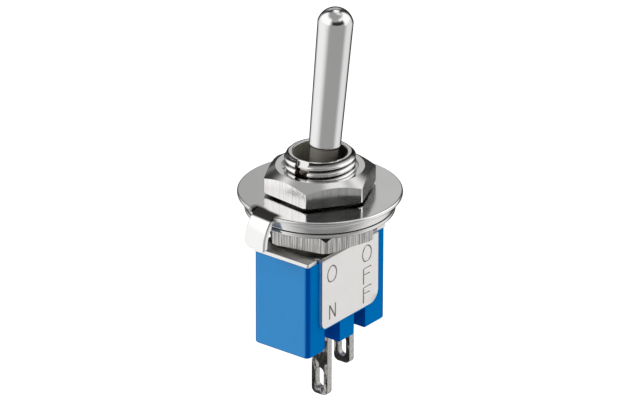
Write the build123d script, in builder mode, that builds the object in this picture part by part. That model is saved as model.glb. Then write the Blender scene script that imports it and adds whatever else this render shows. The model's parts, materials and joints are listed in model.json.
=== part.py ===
from build123d import *
import os
from math import asin, cos, radians, sin, sqrt

# Sub-miniature panel toggle switch, on-off, in millimetres.
# The bushing's axis is Z. Z = 0 is the top of the locating ring, where the back of the panel seats.
# X runs along the housing: -X is the ON end with the keyway, +X is the OFF end with the switched lug.

# Threaded bushing
thread_diameter = 5.0
thread_pitch_diameter = 4.675
bore_diameter = 3.74
mouth_diameter = 3.88
rim_diameter = 4.4
rim_chamfer = 0.28
bushing_height = 6.7
collar_diameter = 5.7
collar_height = 0.3
tenon_diameter = 4.4
keyway_angle = 184.6
keyway_width = 1.0
keyway_depth = 0.42

# Mounting hardware, from the bracket upwards
nut_across_flats = 7.0
nut_height = 1.8
nut_face_diameter = 6.2
nut_seat_diameter = 7.3
nut_corner = 0.1
nut_bore_chamfer = 0.18
lower_nut_turn = 43.7
upper_nut_turn = 23.7
thread_clearance = 0.01
washer_diameter = 10.5
washer_bore_gap = 0.1
washer_edge = 0.08
lock_washer_thickness = 0.35
lock_tooth_count = 12
lock_tooth_width = 0.6
lock_web_diameter = 7.4
spacer_thickness = 0.72
ring_diameter = 11.5
ring_thickness = 0.35
ring_edge = 0.1
tongue_gap = 0.1
tab_angle = 173.5
tab_width = 1.9
tab_gap = 0.05
tab_reach = 6.5
tab_root = 5.22
tab_root_bend = 0.45
tab_root_angle = 45.0
tab_drop = 2.47
tab_corner = 0.55
tab_small_corner = 0.2

# Bracket folded from one sheet
sheet = 0.3
wing_length = 6.4
wing_drop = 5.4
wing_corner_on = 0.5
wing_corner_off = 0.9
plate_corner = 0.15
relief_width = 0.22
relief_depth = 0.25

# Moulded housing
housing_length = 8.85
housing_width = 4.8
housing_height = 7.0
housing_wall = 0.6
housing_corner = 0.4
bottom_corner = 0.15
cavity_corner = 0.2
floor_thickness = 0.5
foot_height = 1.6
foot_gap = 1.3
middle_foot = 1.6
foot_corner = 0.6

# Lever, measured along its own axis from the pivot
lever_tilt = 7.5
pivot_rise = 3.0
lever_length = 13.96
tip_diameter = 2.5
tip_height = 1.08
bat_diameter = 2.24
shoulder_reach = 3.9
shoulder_corner = 0.14
neck_diameter = 1.9
hub_diameter = 3.3
sleeve_diameter = 2.1
sleeve_length = 4.7
pin_diameter = 0.8
pin_clearance = 0.02
pin_recess = 0.3

# Plunger and spring inside the lever's sleeve
plunger_diameter = 1.16
plunger_clearance = 0.04
plunger_nose = 0.45
plunger_seat = 1.3
plunger_gap = 0.12
spring_wire = 0.16
spring_turns = 6
spring_wall_gap = 0.05
spring_end_gap = 0.02
spring_roof = 0.6

# Contacts
rocker_tilt = 9.0
rocker_sheet = 0.3
rocker_width = 2.2
rocker_flat = 1.0
rocker_arm = 2.0
rocker_groove_depth = 0.095
rocker_clearance = 0.02
fulcrum_rise = 0.9
contact_radius = 0.35
contact_shank = 0.18
button_height = 0.2
contact_reach = 1.3
stop_length = 1.0
stop_width = 2.0

# Solder lugs
lug_pitch = 2.54
lug_offset = 0.2
lug_width = 1.4
lug_thickness = 0.55
lug_bend = 0.14
lug_head_margin = 0.12
lug_shoulder = 2.3
lug_shoulder_height = 0.4
common_lug_length = 4.9
switched_lug_length = 3.35
lug_corner = 0.4
lug_slot_width = 0.72
lug_slot_length = 1.6
lug_slot_margin = 0.48

# Heights that follow from the stack under the panel seat
ring_bottom = -ring_thickness
spacer_bottom = ring_bottom - spacer_thickness
lock_bottom = spacer_bottom - lock_washer_thickness
lower_nut_bottom = lock_bottom - nut_height
plate_top = lower_nut_bottom - collar_height
body_top = plate_top - sheet
body_bottom = body_top - housing_height
rim_z = body_top + bushing_height
floor_z = body_bottom + foot_height + floor_thickness
pivot_z = body_top + pivot_rise

# The rocker turns about the centre of the rounded top of the common lug
fulcrum_radius = lug_thickness / 2
rocker_pivot_z = floor_z + fulcrum_rise
groove_radius = fulcrum_radius + rocker_clearance
rocker_seat = groove_radius - rocker_groove_depth
rocker_top = rocker_seat + rocker_sheet
tilt = radians(lever_tilt)
rock = radians(rocker_tilt)
closed_arm_z = rocker_pivot_z + rocker_seat * cos(rock) - rocker_flat * sin(rock)
contact_x = rocker_flat * cos(rock) + rocker_seat * sin(rock) + contact_reach
lug_head_z = floor_z + lug_thickness

# The plunger's nose stops just above the rocker
nose_reach = (pivot_z - rocker_pivot_z) * cos(rock) - rocker_top - plunger_nose - plunger_gap
nose_reach = nose_reach / cos(tilt + rock)
plunger_top = sleeve_length - plunger_seat
spring_top = pin_diameter / 2 + pin_clearance + spring_roof
sleeve_bore = plunger_diameter / 2 + plunger_clearance

# Planes that lie along the lever and along the rocker
lever_direction = Vector(sin(tilt), 0, cos(tilt))
lever_axis = Axis((0, 0, pivot_z), lever_direction)
lever_plane = Plane((0, 0, pivot_z), x_dir=(cos(tilt), 0, -sin(tilt)), z_dir=(0, -1, 0))
rocker_plane = Plane((0, 0, rocker_pivot_z), x_dir=(cos(rock), 0, sin(rock)), z_dir=(0, -1, 0))


def hex_nut(base_z, turn):
    """A hexagon nut that stands on base_z, turned by the angle turn, with its wide chamfer on top."""
    face_radius = nut_face_diameter / 2
    seat_radius = nut_seat_diameter / 2
    corner_radius = nut_across_flats / sqrt(3)
    chamfer_drop = (corner_radius - face_radius) / sqrt(3)
    seat_rise = (corner_radius - seat_radius) / sqrt(3)
    bore_radius = thread_pitch_diameter / 2 + thread_clearance
    mouth_radius = thread_diameter / 2 + nut_bore_chamfer
    mouth_drop = mouth_radius - bore_radius
    with BuildPart() as nut:
        with BuildSketch(Plane.XY.offset(base_z)):
            RegularPolygon(nut_across_flats / 2, 6, major_radius=False, rotation=turn)
            fillet(vertices(), radius=nut_corner)
        extrude(amount=nut_height)
        with BuildSketch(Plane.XZ):
            with BuildLine():
                Polyline(
                    (mouth_radius, base_z),
                    (seat_radius, base_z),
                    (corner_radius, base_z + seat_rise),
                    (corner_radius, base_z + nut_height - chamfer_drop),
                    (face_radius, base_z + nut_height),
                    (mouth_radius, base_z + nut_height),
                    (bore_radius, base_z + nut_height - mouth_drop),
                    (bore_radius, base_z + mouth_drop),
                    close=True,
                )
            make_face()
        revolve(axis=Axis.Z, mode=Mode.INTERSECT)
    return nut


def lug_blade(lug_x, top_z, end_z):
    """A flat solder lug from top_z down to end_z, with rounded lower corners and a wire slot."""
    with BuildPart() as blade:
        with BuildSketch(Plane.YZ.offset(lug_x)):
            with Locations((-lug_offset, (top_z + end_z) / 2)):
                Rectangle(lug_width, top_z - end_z)
            fillet(vertices().group_by(Axis.Y)[0], radius=lug_corner)
            with Locations((-lug_offset, end_z + lug_slot_margin + lug_slot_length / 2)):
                SlotOverall(lug_slot_length, lug_slot_width, rotation=90, mode=Mode.SUBTRACT)
        extrude(amount=lug_thickness / 2, both=True)
    return blade.part


# Housing: an open-topped box on three feet, with a rib that stops the rocker
with BuildPart() as housing:
    with BuildSketch(Plane.XY.offset(body_bottom)):
        RectangleRounded(housing_length, housing_width, housing_corner)
    extrude(amount=housing_height)
    fillet(faces().sort_by(Axis.Z)[0].edges(), radius=bottom_corner)
    with BuildSketch(Plane.XY.offset(floor_z)):
        RectangleRounded(
            housing_length - 2 * housing_wall,
            housing_width - 2 * housing_wall,
            cavity_corner,
        )
    extrude(amount=body_top - floor_z, mode=Mode.SUBTRACT)
    gap_offset = (middle_foot + foot_gap) / 2
    with BuildSketch(Plane.XY.offset(body_bottom)):
        with Locations((-gap_offset, 0), (gap_offset, 0)):
            Rectangle(foot_gap, housing_width)
    extrude(amount=foot_height, mode=Mode.SUBTRACT)
    on_foot_corner = Vertex(-gap_offset - foot_gap / 2, 0, body_bottom)
    fillet(edges().filter_by(Axis.Y).sort_by_distance(on_foot_corner)[0], radius=foot_corner)
    with BuildSketch(Plane.XY.offset(body_bottom)):
        with Locations((0, -lug_offset), (lug_pitch, -lug_offset)):
            Rectangle(lug_thickness, lug_width)
    extrude(amount=foot_height + floor_thickness, mode=Mode.SUBTRACT)
    stop_x = -(rocker_flat + rocker_arm / 2)
    with BuildSketch(Plane.XY.offset(floor_z)):
        with Locations((stop_x, 0)):
            Rectangle(stop_length, stop_width)
    extrude(amount=closed_arm_z - rocker_clearance - floor_z)
housing.part.label = "housing"

# Bracket: a plate over the housing with a wing folded down each long side
with BuildPart() as bracket:
    with BuildSketch(Plane.XY.offset(body_top)):
        RectangleRounded(housing_length, housing_width, plate_corner)
    extrude(amount=sheet)
    wing_face = housing_width / 2 + sheet
    wing_z = plate_top - wing_drop
    with BuildSketch(Plane.YZ):
        with Locations((0, (plate_top + wing_z) / 2)):
            Rectangle(2 * wing_face, plate_top - wing_z)
        with Locations((0, (body_top + wing_z) / 2)):
            Rectangle(housing_width, body_top - wing_z, mode=Mode.SUBTRACT)
    extrude(amount=wing_length / 2, both=True)
    top_edges = edges().filter_by(Axis.X).group_by(Axis.Z)[-1].sort_by(Axis.Y)
    fillet([top_edges[0], top_edges[-1]], radius=sheet)
    lower_edges = edges().filter_by(Axis.Y).group_by(Axis.Z)[0]
    fillet(lower_edges.group_by(Axis.X)[0], radius=wing_corner_on)
    fillet(lower_edges.group_by(Axis.X)[-1], radius=wing_corner_off)
    relief_x = wing_length / 2 + relief_width / 2
    relief_y = housing_width / 2 - relief_depth / 2
    with BuildSketch(Plane.XY.offset(body_top)):
        with GridLocations(2 * relief_x, 2 * relief_y, 2, 2):
            Rectangle(relief_width, relief_depth)
        Circle(tenon_diameter / 2)
    extrude(amount=sheet, mode=Mode.SUBTRACT)
bracket.part.label = "bracket"

# Bushing: collar and tenon below, keyway along the thread, cross hole for the pivot pin.
# Inside each nut the two threads meet on their pitch line, so the bushing narrows to it there.
with BuildPart() as bushing:
    thread_radius = thread_diameter / 2
    pitch_radius = thread_pitch_diameter / 2
    bore_radius = bore_diameter / 2
    mouth_step = (mouth_diameter - bore_diameter) / 2
    with BuildSketch(Plane.XZ):
        with BuildLine():
            Polyline(
                (bore_radius, body_top),
                (tenon_diameter / 2, body_top),
                (tenon_diameter / 2, plate_top),
                (collar_diameter / 2, plate_top),
                (collar_diameter / 2, lower_nut_bottom),
                (pitch_radius, lower_nut_bottom),
                (pitch_radius, lock_bottom),
                (thread_radius, lock_bottom),
                (thread_radius, 0),
                (pitch_radius, 0),
                (pitch_radius, nut_height),
                (thread_radius, nut_height),
                (thread_radius, rim_z - rim_chamfer),
                (rim_diameter / 2, rim_z),
                (mouth_diameter / 2, rim_z),
                (bore_radius, rim_z - mouth_step),
                close=True,
            )
        make_face()
    revolve(axis=Axis.Z)
    with BuildSketch(Plane.XY.offset(lower_nut_bottom)):
        with PolarLocations(thread_radius, 1, start_angle=keyway_angle):
            Rectangle(2 * keyway_depth, keyway_width)
    extrude(amount=rim_z - lower_nut_bottom, mode=Mode.SUBTRACT)
    with Locations((0, 0, pivot_z)):
        Cylinder(pin_diameter / 2, thread_diameter, rotation=(90, 0, 0), mode=Mode.SUBTRACT)
bushing.part.label = "bushing"

# Pivot pin: pressed through both walls of the bushing
with BuildPart() as pivot_pin:
    with Locations((0, 0, pivot_z)):
        Cylinder(pin_diameter / 2, thread_diameter - 2 * pin_recess, rotation=(90, 0, 0))
pivot_pin.part.label = "pivot_pin"

# Lever: bat, neck, ball hub and hollow sleeve turned from one bar
with BuildPart() as lever:
    hub_radius = hub_diameter / 2
    tip_radius = tip_diameter / 2
    bat_radius = bat_diameter / 2
    neck_radius = neck_diameter / 2
    sleeve_radius = sleeve_diameter / 2
    tip_round = (tip_radius**2 + tip_height**2) / (2 * tip_height)
    tip_turn = asin(tip_radius / tip_round) / 2
    tip_start = (tip_radius, lever_length - tip_height)
    tip_middle = (tip_round * sin(tip_turn), lever_length - tip_round * (1 - cos(tip_turn)))
    with BuildSketch(lever_plane):
        with BuildLine():
            Polyline(
                (0, -spring_top),
                (sleeve_bore, -spring_top),
                (sleeve_bore, -sleeve_length),
                (sleeve_radius, -sleeve_length),
                (sleeve_radius, -sqrt(hub_radius**2 - sleeve_radius**2)),
            )
            ThreePointArc(
                (sleeve_radius, -sqrt(hub_radius**2 - sleeve_radius**2)),
                (hub_radius, 0),
                (neck_radius, sqrt(hub_radius**2 - neck_radius**2)),
            )
            Polyline(
                (neck_radius, sqrt(hub_radius**2 - neck_radius**2)),
                (neck_radius, shoulder_reach),
                (bat_radius, shoulder_reach),
            )
            Line((bat_radius, shoulder_reach), tip_start)
            ThreePointArc(tip_start, tip_middle, (0, lever_length))
            Line((0, lever_length), (0, -spring_top))
        make_face()
        shoulder = vertices().sort_by_distance((bat_radius, shoulder_reach))[0]
        fillet(shoulder, radius=shoulder_corner)
    revolve(axis=lever_axis)
    with Locations((0, 0, pivot_z)):
        Cylinder(
            pin_diameter / 2 + pin_clearance,
            hub_diameter,
            rotation=(90, 0, 0),
            mode=Mode.SUBTRACT,
        )
lever.part.label = "lever"

# Plunger: a nylon pin with a round nose that runs in the lever's sleeve
with BuildPart() as plunger:
    plunger_radius = plunger_diameter / 2
    nose_angle = radians(45)
    with BuildSketch(lever_plane):
        with BuildLine():
            Polyline(
                (0, -plunger_top),
                (plunger_radius, -plunger_top),
                (plunger_radius, -nose_reach + plunger_nose),
                (plunger_nose, -nose_reach),
            )
            ThreePointArc(
                (plunger_nose, -nose_reach),
                (plunger_nose * cos(nose_angle), -nose_reach - plunger_nose * sin(nose_angle)),
                (0, -nose_reach - plunger_nose),
            )
            Line((0, -nose_reach - plunger_nose), (0, -plunger_top))
        make_face()
    revolve(axis=lever_axis)
plunger.part.label = "plunger"

# Spring: a coil between the sleeve's blind end and the plunger
with BuildPart() as plunger_spring:
    coil_radius = sleeve_bore - spring_wall_gap - spring_wire / 2
    coil_start = plunger_top - spring_wire / 2 - spring_end_gap
    coil_height = coil_start - spring_top - spring_wire / 2 - spring_end_gap
    coil_origin = Vector(0, 0, pivot_z) - lever_direction * coil_start
    with BuildLine() as coil:
        Helix(coil_height / spring_turns, coil_height, coil_radius, coil_origin, lever_direction)
    with BuildSketch(Plane(coil.line @ 0, z_dir=coil.line % 0)):
        Circle(spring_wire / 2)
    sweep(path=coil.line, is_frenet=True)
plunger_spring.part.label = "plunger_spring"

# Rocker: a strip with a flat middle, a groove for the fulcrum and two raised arms
contact_origin = rocker_plane.from_local_coords(
    (rocker_flat + contact_reach * cos(rock), rocker_seat + contact_reach * sin(rock), 0)
)
contact_plane = Plane(
    contact_origin,
    x_dir=(cos(2 * rock), 0, sin(2 * rock)),
    z_dir=(-sin(2 * rock), 0, cos(2 * rock)),
)
with BuildPart() as rocker:
    arm_end = rocker_flat + rocker_arm * cos(rock)
    arm_end_z = rocker_seat + rocker_arm * sin(rock)
    lean = rocker_sheet * sin(rock)
    knee = rocker_sheet * sin(rock / 2)
    with BuildSketch(rocker_plane):
        with BuildLine():
            Polyline(
                (-arm_end, arm_end_z),
                (-rocker_flat, rocker_seat),
                (rocker_flat, rocker_seat),
                (arm_end, arm_end_z),
                (arm_end - lean, arm_end_z + rocker_sheet * cos(rock)),
                (rocker_flat - knee, rocker_top),
                (-rocker_flat + knee, rocker_top),
                (-arm_end + lean, arm_end_z + rocker_sheet * cos(rock)),
                close=True,
            )
        make_face()
        Circle(groove_radius, mode=Mode.SUBTRACT)
    extrude(amount=rocker_width / 2, both=True)
    with BuildSketch(contact_plane):
        Circle(contact_shank)
    extrude(amount=rocker_sheet, mode=Mode.SUBTRACT)
rocker.part.label = "rocker"

# Moving contact: a silver button riveted through the rocker's raised arm
with BuildPart() as rocker_contact:
    with BuildSketch(contact_plane):
        Circle(contact_radius)
    extrude(amount=-button_height)
    with BuildSketch(contact_plane):
        Circle(contact_shank)
    extrude(amount=rocker_sheet)
rocker_contact.part.label = "rocker_contact"

# Common lug: shoulders on the floor and a rounded top that carries the rocker
common_blade = lug_blade(0, rocker_pivot_z, body_bottom - common_lug_length)
with BuildPart() as common_lug:
    add(common_blade)
    with BuildSketch(Plane.YZ):
        with Locations((-lug_offset, floor_z + lug_shoulder_height / 2)):
            Rectangle(lug_shoulder, lug_shoulder_height)
    extrude(amount=lug_thickness / 2, both=True)
    with Locations((0, -lug_offset, rocker_pivot_z)):
        Cylinder(fulcrum_radius, lug_width, rotation=(90, 0, 0))
common_lug.part.label = "common_lug"

# Switched lug: its top is folded flat on the floor under the fixed contact
switched_blade = lug_blade(lug_pitch, floor_z, body_bottom - switched_lug_length)
with BuildPart() as switched_lug:
    add(switched_blade)
    lug_face_x = lug_pitch + lug_thickness / 2
    head_x = contact_x - contact_radius - lug_head_margin
    with BuildSketch(Plane.XZ.offset(lug_offset)):
        with BuildLine():
            Polyline(
                (lug_face_x, floor_z),
                (lug_face_x, lug_head_z),
                (head_x, lug_head_z),
                (head_x, floor_z),
                close=True,
            )
        make_face()
        fillet(vertices().sort_by_distance((lug_face_x, lug_head_z))[0], radius=lug_bend)
    extrude(amount=lug_width / 2, both=True)
switched_lug.part.label = "switched_lug"

# Fixed contact: a silver pad on the switched lug
with BuildPart() as fixed_contact:
    with BuildSketch(Plane.XY.offset(lug_head_z)):
        with Locations((contact_x, 0)):
            Circle(contact_radius)
    extrude(amount=closed_arm_z - button_height - rocker_clearance - lug_head_z)
fixed_contact.part.label = "fixed_contact"

# Nuts: the lower one backs the washers, the upper one clamps the panel
lower_nut = hex_nut(lower_nut_bottom, lower_nut_turn)
lower_nut.part.label = "lower_nut"
upper_nut = hex_nut(0, upper_nut_turn)
upper_nut.part.label = "upper_nut"

# Lock washer: flat, with teeth that point inwards to the thread
washer_bore_radius = thread_diameter / 2 + washer_bore_gap
with BuildPart() as lock_washer:
    tooth_length = lock_web_diameter / 2 - washer_bore_radius + washer_bore_gap
    with BuildSketch(Plane.XY.offset(lock_bottom)):
        Circle(washer_diameter / 2)
        Circle(lock_web_diameter / 2, mode=Mode.SUBTRACT)
        with PolarLocations(washer_bore_radius + tooth_length / 2, lock_tooth_count):
            Rectangle(tooth_length, lock_tooth_width)
    extrude(amount=lock_washer_thickness)
    fillet(edges().filter_by(GeomType.CIRCLE).group_by(SortBy.RADIUS)[-1], radius=washer_edge)
lock_washer.part.label = "lock_washer"

# Spacer washer between the lock washer and the locating ring
with BuildPart() as spacer_washer:
    with BuildSketch(Plane.XY.offset(spacer_bottom)):
        Circle(washer_diameter / 2)
        Circle(washer_bore_radius, mode=Mode.SUBTRACT)
    extrude(amount=spacer_thickness)
    fillet(edges().filter_by(GeomType.CIRCLE).group_by(SortBy.RADIUS)[-1], radius=washer_edge)
spacer_washer.part.label = "spacer_washer"

# Locating ring: a tongue in the bushing's keyway, and a tab folded down at the rim
with BuildPart() as locating_ring:
    tab_turn = radians(tab_angle)
    tab_side = (cos(tab_turn), sin(tab_turn), 0)
    tab_plane = Plane((0, 0, 0), x_dir=tab_side, z_dir=(sin(tab_turn), -cos(tab_turn), 0))
    tongue_tip = thread_diameter / 2 - keyway_depth + tongue_gap
    tongue_root = washer_bore_radius + tongue_gap
    with BuildSketch(Plane.XY.offset(ring_bottom)):
        Circle(ring_diameter / 2)
        Circle(washer_bore_radius, mode=Mode.SUBTRACT)
        with PolarLocations((tongue_tip + tongue_root) / 2, 1, start_angle=keyway_angle):
            Rectangle(tongue_root - tongue_tip, keyway_width - 2 * tongue_gap)
    extrude(amount=ring_thickness)
    fillet(edges().filter_by(GeomType.CIRCLE).group_by(SortBy.RADIUS)[-1], radius=ring_edge)
    notch_start = tab_root - 2 * tab_gap
    notch_length = ring_diameter / 2 - notch_start + tab_gap
    with BuildSketch(Plane.XY.offset(ring_bottom)):
        with PolarLocations(notch_start + notch_length / 2, 1, start_angle=tab_angle):
            Rectangle(notch_length, tab_width + 2 * tab_gap)
    extrude(amount=ring_thickness, mode=Mode.SUBTRACT)
    tab_middle = tab_reach - ring_thickness / 2
    root_turn = radians(tab_root_angle)
    root_z = -ring_thickness / 2
    bend_x = tab_root + tab_root_bend * sin(root_turn)
    bend_z = root_z - tab_root_bend * (1 - cos(root_turn))
    tab_bend = (tab_middle - bend_x) / (1 - sin(root_turn))
    bend_centre = (tab_middle - tab_bend, bend_z - tab_bend * cos(root_turn))
    with BuildSketch(tab_plane):
        with BuildLine():
            Line((tab_root - ring_thickness, root_z), (tab_root, root_z))
            CenterArc((tab_root, root_z - tab_root_bend), tab_root_bend, 90, -tab_root_angle)
            CenterArc(bend_centre, tab_bend, 90 - tab_root_angle, tab_root_angle - 90)
            Line((tab_middle, bend_centre[1]), (tab_middle, -tab_drop))
        trace(line_width=ring_thickness)
    extrude(amount=tab_width / 2, both=True)
    across_tab = Axis((0, 0, 0), tab_side)
    tab_ends = edges().filter_by(across_tab).group_by(Axis.Z)[0].sort_by(Axis.Y)
    fillet(tab_ends[-1], radius=tab_corner)
    tab_ends = edges().filter_by(across_tab).group_by(Axis.Z)[0].sort_by(Axis.Y)
    fillet(tab_ends[0], radius=tab_small_corner)
locating_ring.part.label = "locating_ring"

# One STEP file for each piece
os.makedirs("parts", exist_ok=True)
export_step(housing.part, "parts/housing.step")
export_step(bracket.part, "parts/bracket.step")
export_step(bushing.part, "parts/bushing.step")
export_step(pivot_pin.part, "parts/pivot_pin.step")
export_step(lever.part, "parts/lever.step")
export_step(plunger.part, "parts/plunger.step")
export_step(plunger_spring.part, "parts/plunger_spring.step")
export_step(rocker.part, "parts/rocker.step")
export_step(rocker_contact.part, "parts/rocker_contact.step")
export_step(common_lug.part, "parts/common_lug.step")
export_step(switched_lug.part, "parts/switched_lug.step")
export_step(fixed_contact.part, "parts/fixed_contact.step")
export_step(lower_nut.part, "parts/lower_nut.step")
export_step(upper_nut.part, "parts/upper_nut.step")
export_step(lock_washer.part, "parts/lock_washer.step")
export_step(spacer_washer.part, "parts/spacer_washer.step")
export_step(locating_ring.part, "parts/locating_ring.step")
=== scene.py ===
# %% [markdown]
# # A sub-miniature panel toggle switch
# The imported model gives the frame: every solid, where it is and what it rides on.
# Blender adds what solids can't show well, such as the thread's ridges, the stamped letters
# and the finishes of nickel, satin steel, tin and moulded plastic.
# The scene is in metres, and sizes in millimetres are turned into metres with MM. Z = 0 is the
# top of the locating ring, and +Z runs to the lever's tip.

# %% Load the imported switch
import json
from math import acos, asin, cos, degrees, pi, radians, sin, sqrt, tan

import bmesh
import bpy
from mathutils import Matrix, Vector

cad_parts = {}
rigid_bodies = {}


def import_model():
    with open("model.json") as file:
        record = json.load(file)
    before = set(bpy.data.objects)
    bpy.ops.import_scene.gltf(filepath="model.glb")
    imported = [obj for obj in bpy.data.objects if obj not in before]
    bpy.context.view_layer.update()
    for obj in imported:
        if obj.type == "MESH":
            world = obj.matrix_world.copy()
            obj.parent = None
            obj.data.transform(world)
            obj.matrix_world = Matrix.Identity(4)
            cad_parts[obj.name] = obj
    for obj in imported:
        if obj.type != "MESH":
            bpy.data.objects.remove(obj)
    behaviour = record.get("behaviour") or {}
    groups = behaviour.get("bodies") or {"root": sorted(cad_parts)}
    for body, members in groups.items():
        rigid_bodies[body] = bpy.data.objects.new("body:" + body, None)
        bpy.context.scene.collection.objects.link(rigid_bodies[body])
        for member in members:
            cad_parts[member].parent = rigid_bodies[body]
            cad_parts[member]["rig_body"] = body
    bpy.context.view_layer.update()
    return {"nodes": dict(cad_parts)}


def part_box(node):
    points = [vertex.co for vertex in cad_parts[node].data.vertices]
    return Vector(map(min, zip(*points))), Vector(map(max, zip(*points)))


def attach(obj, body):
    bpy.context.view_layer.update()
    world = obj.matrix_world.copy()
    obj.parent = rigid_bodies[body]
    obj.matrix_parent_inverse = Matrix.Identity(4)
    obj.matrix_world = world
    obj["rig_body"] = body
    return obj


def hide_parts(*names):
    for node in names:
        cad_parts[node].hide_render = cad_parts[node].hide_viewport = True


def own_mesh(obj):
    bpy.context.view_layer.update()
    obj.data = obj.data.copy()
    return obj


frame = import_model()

MM = 0.001
print("nodes:", len(frame["nodes"]))

# %% [markdown]
# ## Camera
# A long lens far away gives the nearly parallel edges of a catalogue picture.
# The place is worked out from an angle round the switch, an angle above it and a distance,
# so that each of the three can be corrected alone.

# %% Camera
CAMERA_TURN = -52.279
CAMERA_RISE = 25.102
CAMERA_DISTANCE = 432.2 * MM
CAMERA_ROLL = 0.179
CIRCLED_POINT = Vector((0, 0, -3.57 * MM))
AIM_POINT = Vector((0, 0, -0.872 * MM))
FOCAL_LENGTH = 350.1


def direction(turn, rise):
    """The unit vector at an angle round Z, from -Y towards +X, and an angle above the horizon."""
    a, e = radians(turn), radians(rise)
    return Vector((sin(a) * cos(e), -cos(a) * cos(e), sin(e)))


def in_scene(name, data):
    """A new object at the origin that shows a mesh, a lamp or a camera."""
    obj = bpy.data.objects.new(name, data)
    bpy.context.scene.collection.objects.link(obj)
    return obj


camera_data = bpy.data.cameras.new("catalogue_camera")
camera_data.lens = FOCAL_LENGTH
camera_data.sensor_fit = "HORIZONTAL"
camera_data.sensor_width = 36
camera_data.clip_start = 0.01
camera_data.clip_end = 20
camera = in_scene("catalogue_camera", camera_data)
camera.location = CIRCLED_POINT + CAMERA_DISTANCE * direction(CAMERA_TURN, CAMERA_RISE)
level_view = (AIM_POINT - camera.location).to_track_quat("-Z", "Y").to_matrix()
camera.rotation_euler = (level_view @ Matrix.Rotation(radians(CAMERA_ROLL), 3, "Z")).to_euler()
bpy.context.scene.camera = camera
bpy.context.scene.view_settings.view_transform = "Standard"
print("camera at", [round(c, 4) for c in camera.location])

# %% [markdown]
# ## Small helpers for meshes
# Most of these pieces are turned on a lathe, so a profile of radius and height is spun round Z.
# A profile is given in millimetres, as on a drawing, and the helper turns it into metres.
# A finished piece stands for its CAD node and rides on that node's body. Its flat faces stay
# flat, and only edges sharper than an angle show as edges.

# %% Spin and finish
TURNS = 144
WELD = 1e-7


def tidy(bm, distance=WELD):
    """Points that lie on each other become one, and all the faces look outward."""
    bmesh.ops.remove_doubles(bm, verts=bm.verts, dist=distance)
    bmesh.ops.recalc_face_normals(bm, faces=bm.faces)


def mesh_of(bm, name):
    """A mesh made of a bmesh, which is used up."""
    mesh = bpy.data.meshes.new(name)
    bm.to_mesh(mesh)
    bm.free()
    return mesh


def spin_profile(profile, steps=TURNS):
    """A closed loop of (radius, height) in millimetres, spun once round Z."""
    bm = bmesh.new()
    verts = [bm.verts.new((r * MM, 0, z * MM)) for r, z in profile]
    edges = [bm.edges.new((a, b)) for a, b in zip(verts, verts[1:] + verts[:1])]
    bmesh.ops.spin(
        bm, geom=verts + edges, cent=(0, 0, 0), axis=(0, 0, 1), angle=2 * pi, steps=steps, use_merge=True
    )
    tidy(bm)
    return bm


def finish_piece(bm, name, node, sharp=40):
    """Makes a piece of a bmesh, which stands for a CAD node and rides on that node's body."""
    for face in bm.faces:
        face.smooth = True
    for edge in bm.edges:
        edge.smooth = edge.calc_face_angle(0) < radians(sharp)
    piece = in_scene(name, mesh_of(bm, name))
    weighted = piece.modifiers.new("flat_faces_stay_flat", "WEIGHTED_NORMAL")
    weighted.keep_sharp = True
    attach(piece, frame["nodes"][node]["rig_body"])
    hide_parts(node)
    print(name, len(piece.data.polygons), "faces")
    return piece


# %% [markdown]
# ## Boxes and Booleans
# Slots, teeth and tongues are boxes at an angle round Z, joined on or cut away by a Boolean.
# The modifier is worked out at once, and only its result is kept.

# %% Turned box and cut
def turned_box(bm, start, end, width, turn, low, high):
    """Adds a box that goes from one radius to another, turned round Z. All in millimetres."""
    middle = Vector(((start + end) / 2, 0, (low + high) / 2)) * MM
    size = Matrix.Diagonal((end - start, width, high - low, 1))
    place = Matrix.Rotation(radians(turn), 4, "Z") @ Matrix.Translation(middle)
    bmesh.ops.create_cube(bm, size=MM, matrix=place @ size)
    return bm


def cut(bm, tools, operation="DIFFERENCE"):
    """A bmesh with another cut from it, or joined to it, by a Boolean modifier."""
    shapes = [in_scene("shape", mesh_of(part, "shape")) for part in (bm, tools)]
    boolean = shapes[0].modifiers.new("cut", "BOOLEAN")
    boolean.object = shapes[1]
    boolean.operation = operation
    boolean.solver = "EXACT"
    boolean.use_self = True
    evaluated = shapes[0].evaluated_get(bpy.context.evaluated_depsgraph_get())
    result = bmesh.new()
    result.from_mesh(evaluated.to_mesh())
    for shape in shapes:
        mesh = shape.data
        bpy.data.objects.remove(shape)
        bpy.data.meshes.remove(mesh)
    bmesh.ops.remove_doubles(result, verts=result.verts, dist=2 * WELD)
    return result


# %% [markdown]
# ## Levels
# The stack of nuts and washers fixes every height. They are read from the CAD boxes, so a
# change there moves these pieces too.

# %% Levels, in millimetres
def top(node):
    """The height of the top of a CAD node."""
    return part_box(node)[1].z / MM


def bottom(node):
    """The height of the bottom of a CAD node."""
    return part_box(node)[0].z / MM


UPPER_NUT = (bottom("upper_nut"), top("upper_nut"))
LOWER_NUT = (bottom("lower_nut"), top("lower_nut"))
BUSHING = (bottom("bushing"), top("bushing"))
COLLAR = (top("bracket"), bottom("lower_nut"))
WING_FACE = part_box("bracket")[0].y / MM
print("upper nut", UPPER_NUT, "lower nut", LOWER_NUT, "bushing", BUSHING)

# %% [markdown]
# ## Threaded bushing
# The thread is M5 with a fine pitch of 0.5 mm. Its ridge climbs as it goes round, so it can't be
# a stack of rings. A plain wall is spun with many rows of points, and then each point moves in or
# out by the thread's form at its own height and angle. The chamfer at the rim cuts the last turn
# away.

# %% Threaded bushing
THREAD_RADIUS = 2.5
THREAD_PITCH = 0.5
THREAD_DEPTH = 0.307
ROWS_PER_TURN = 14
BORE_RADIUS = 1.87
MOUTH_RADIUS = 1.94
RIM_RADIUS = 2.2
RIM_CHAMFER = 0.28
COLLAR_RADIUS = 2.85
TENON_RADIUS = 2.2
CREST_ROUNDING = 2.2
ON_THE_WALL = 0.01


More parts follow.
